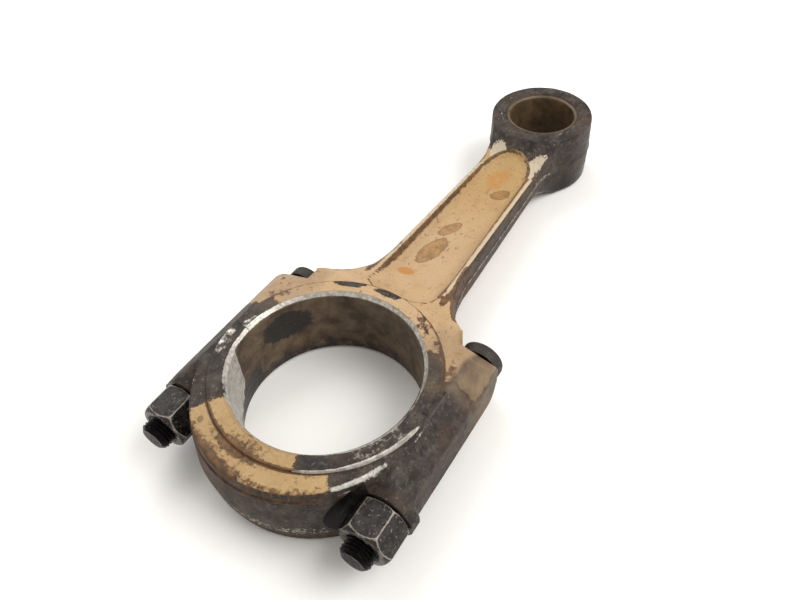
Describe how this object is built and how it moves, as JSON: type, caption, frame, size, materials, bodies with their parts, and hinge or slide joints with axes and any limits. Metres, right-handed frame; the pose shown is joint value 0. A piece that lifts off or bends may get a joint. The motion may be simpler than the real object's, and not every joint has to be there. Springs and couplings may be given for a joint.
{
  "type": "connecting rod",
  "caption": "Forged connecting rod: bushed small-end eye, recessed I-section shank, and a big end split square with its cap held by bolts and tall hexagon nuts.",
  "frame": {"origin": "centre of the big-end bore at mid-thickness; the joint face between rod and cap is the plane x = 0", "axes": "+X along the rod towards the small end, +Z along the bore axes, +Y towards the left bolt"},
  "size_m": [0.3065, 0.1276, 0.039],
  "materials": {
    "rod_steel": "forged steel under old tan lacquer, oil-stained",
    "cap_steel": "forged steel, gunmetal with worn tan lacquer",
    "bolt_steel": "blackened, greasy",
    "nut_steel": "dark phosphate with worn edges",
    "bush_bronze": "machined bronze, oil-browned"
  },
  "bodies": {
    "rod": {"rod_forging": "rod_steel", "small_end_bush": "bush_bronze"},
    "cap": {"bearing_cap": "cap_steel"},
    "bolt_left": {"bolt_left": "bolt_steel"},
    "bolt_right": {"bolt_right": "bolt_steel"},
    "nut_left": {"nut_left": "nut_steel"},
    "nut_right": {"nut_right": "nut_steel"}
  },
  "joints": [
    {"name": "cap_off", "type": "slide", "parent": "rod", "child": "cap", "axis": [-1, 0, 0], "range_m": [0, 0.06]},
    {"name": "nut_left_off", "type": "slide", "parent": "cap", "child": "nut_left", "axis": [-1, 0, 0], "range_m": [0, 0.024]},
    {"name": "nut_right_off", "type": "slide", "parent": "cap", "child": "nut_right", "axis": [-1, 0, 0], "range_m": [0, 0.024]},
    {"name": "bolt_left_out", "type": "slide", "parent": "rod", "child": "bolt_left", "axis": [1, 0, 0], "range_m": [0, 0.105]},
    {"name": "bolt_right_out", "type": "slide", "parent": "rod", "child": "bolt_right", "axis": [1, 0, 0], "range_m": [0, 0.105]}
  ]
}
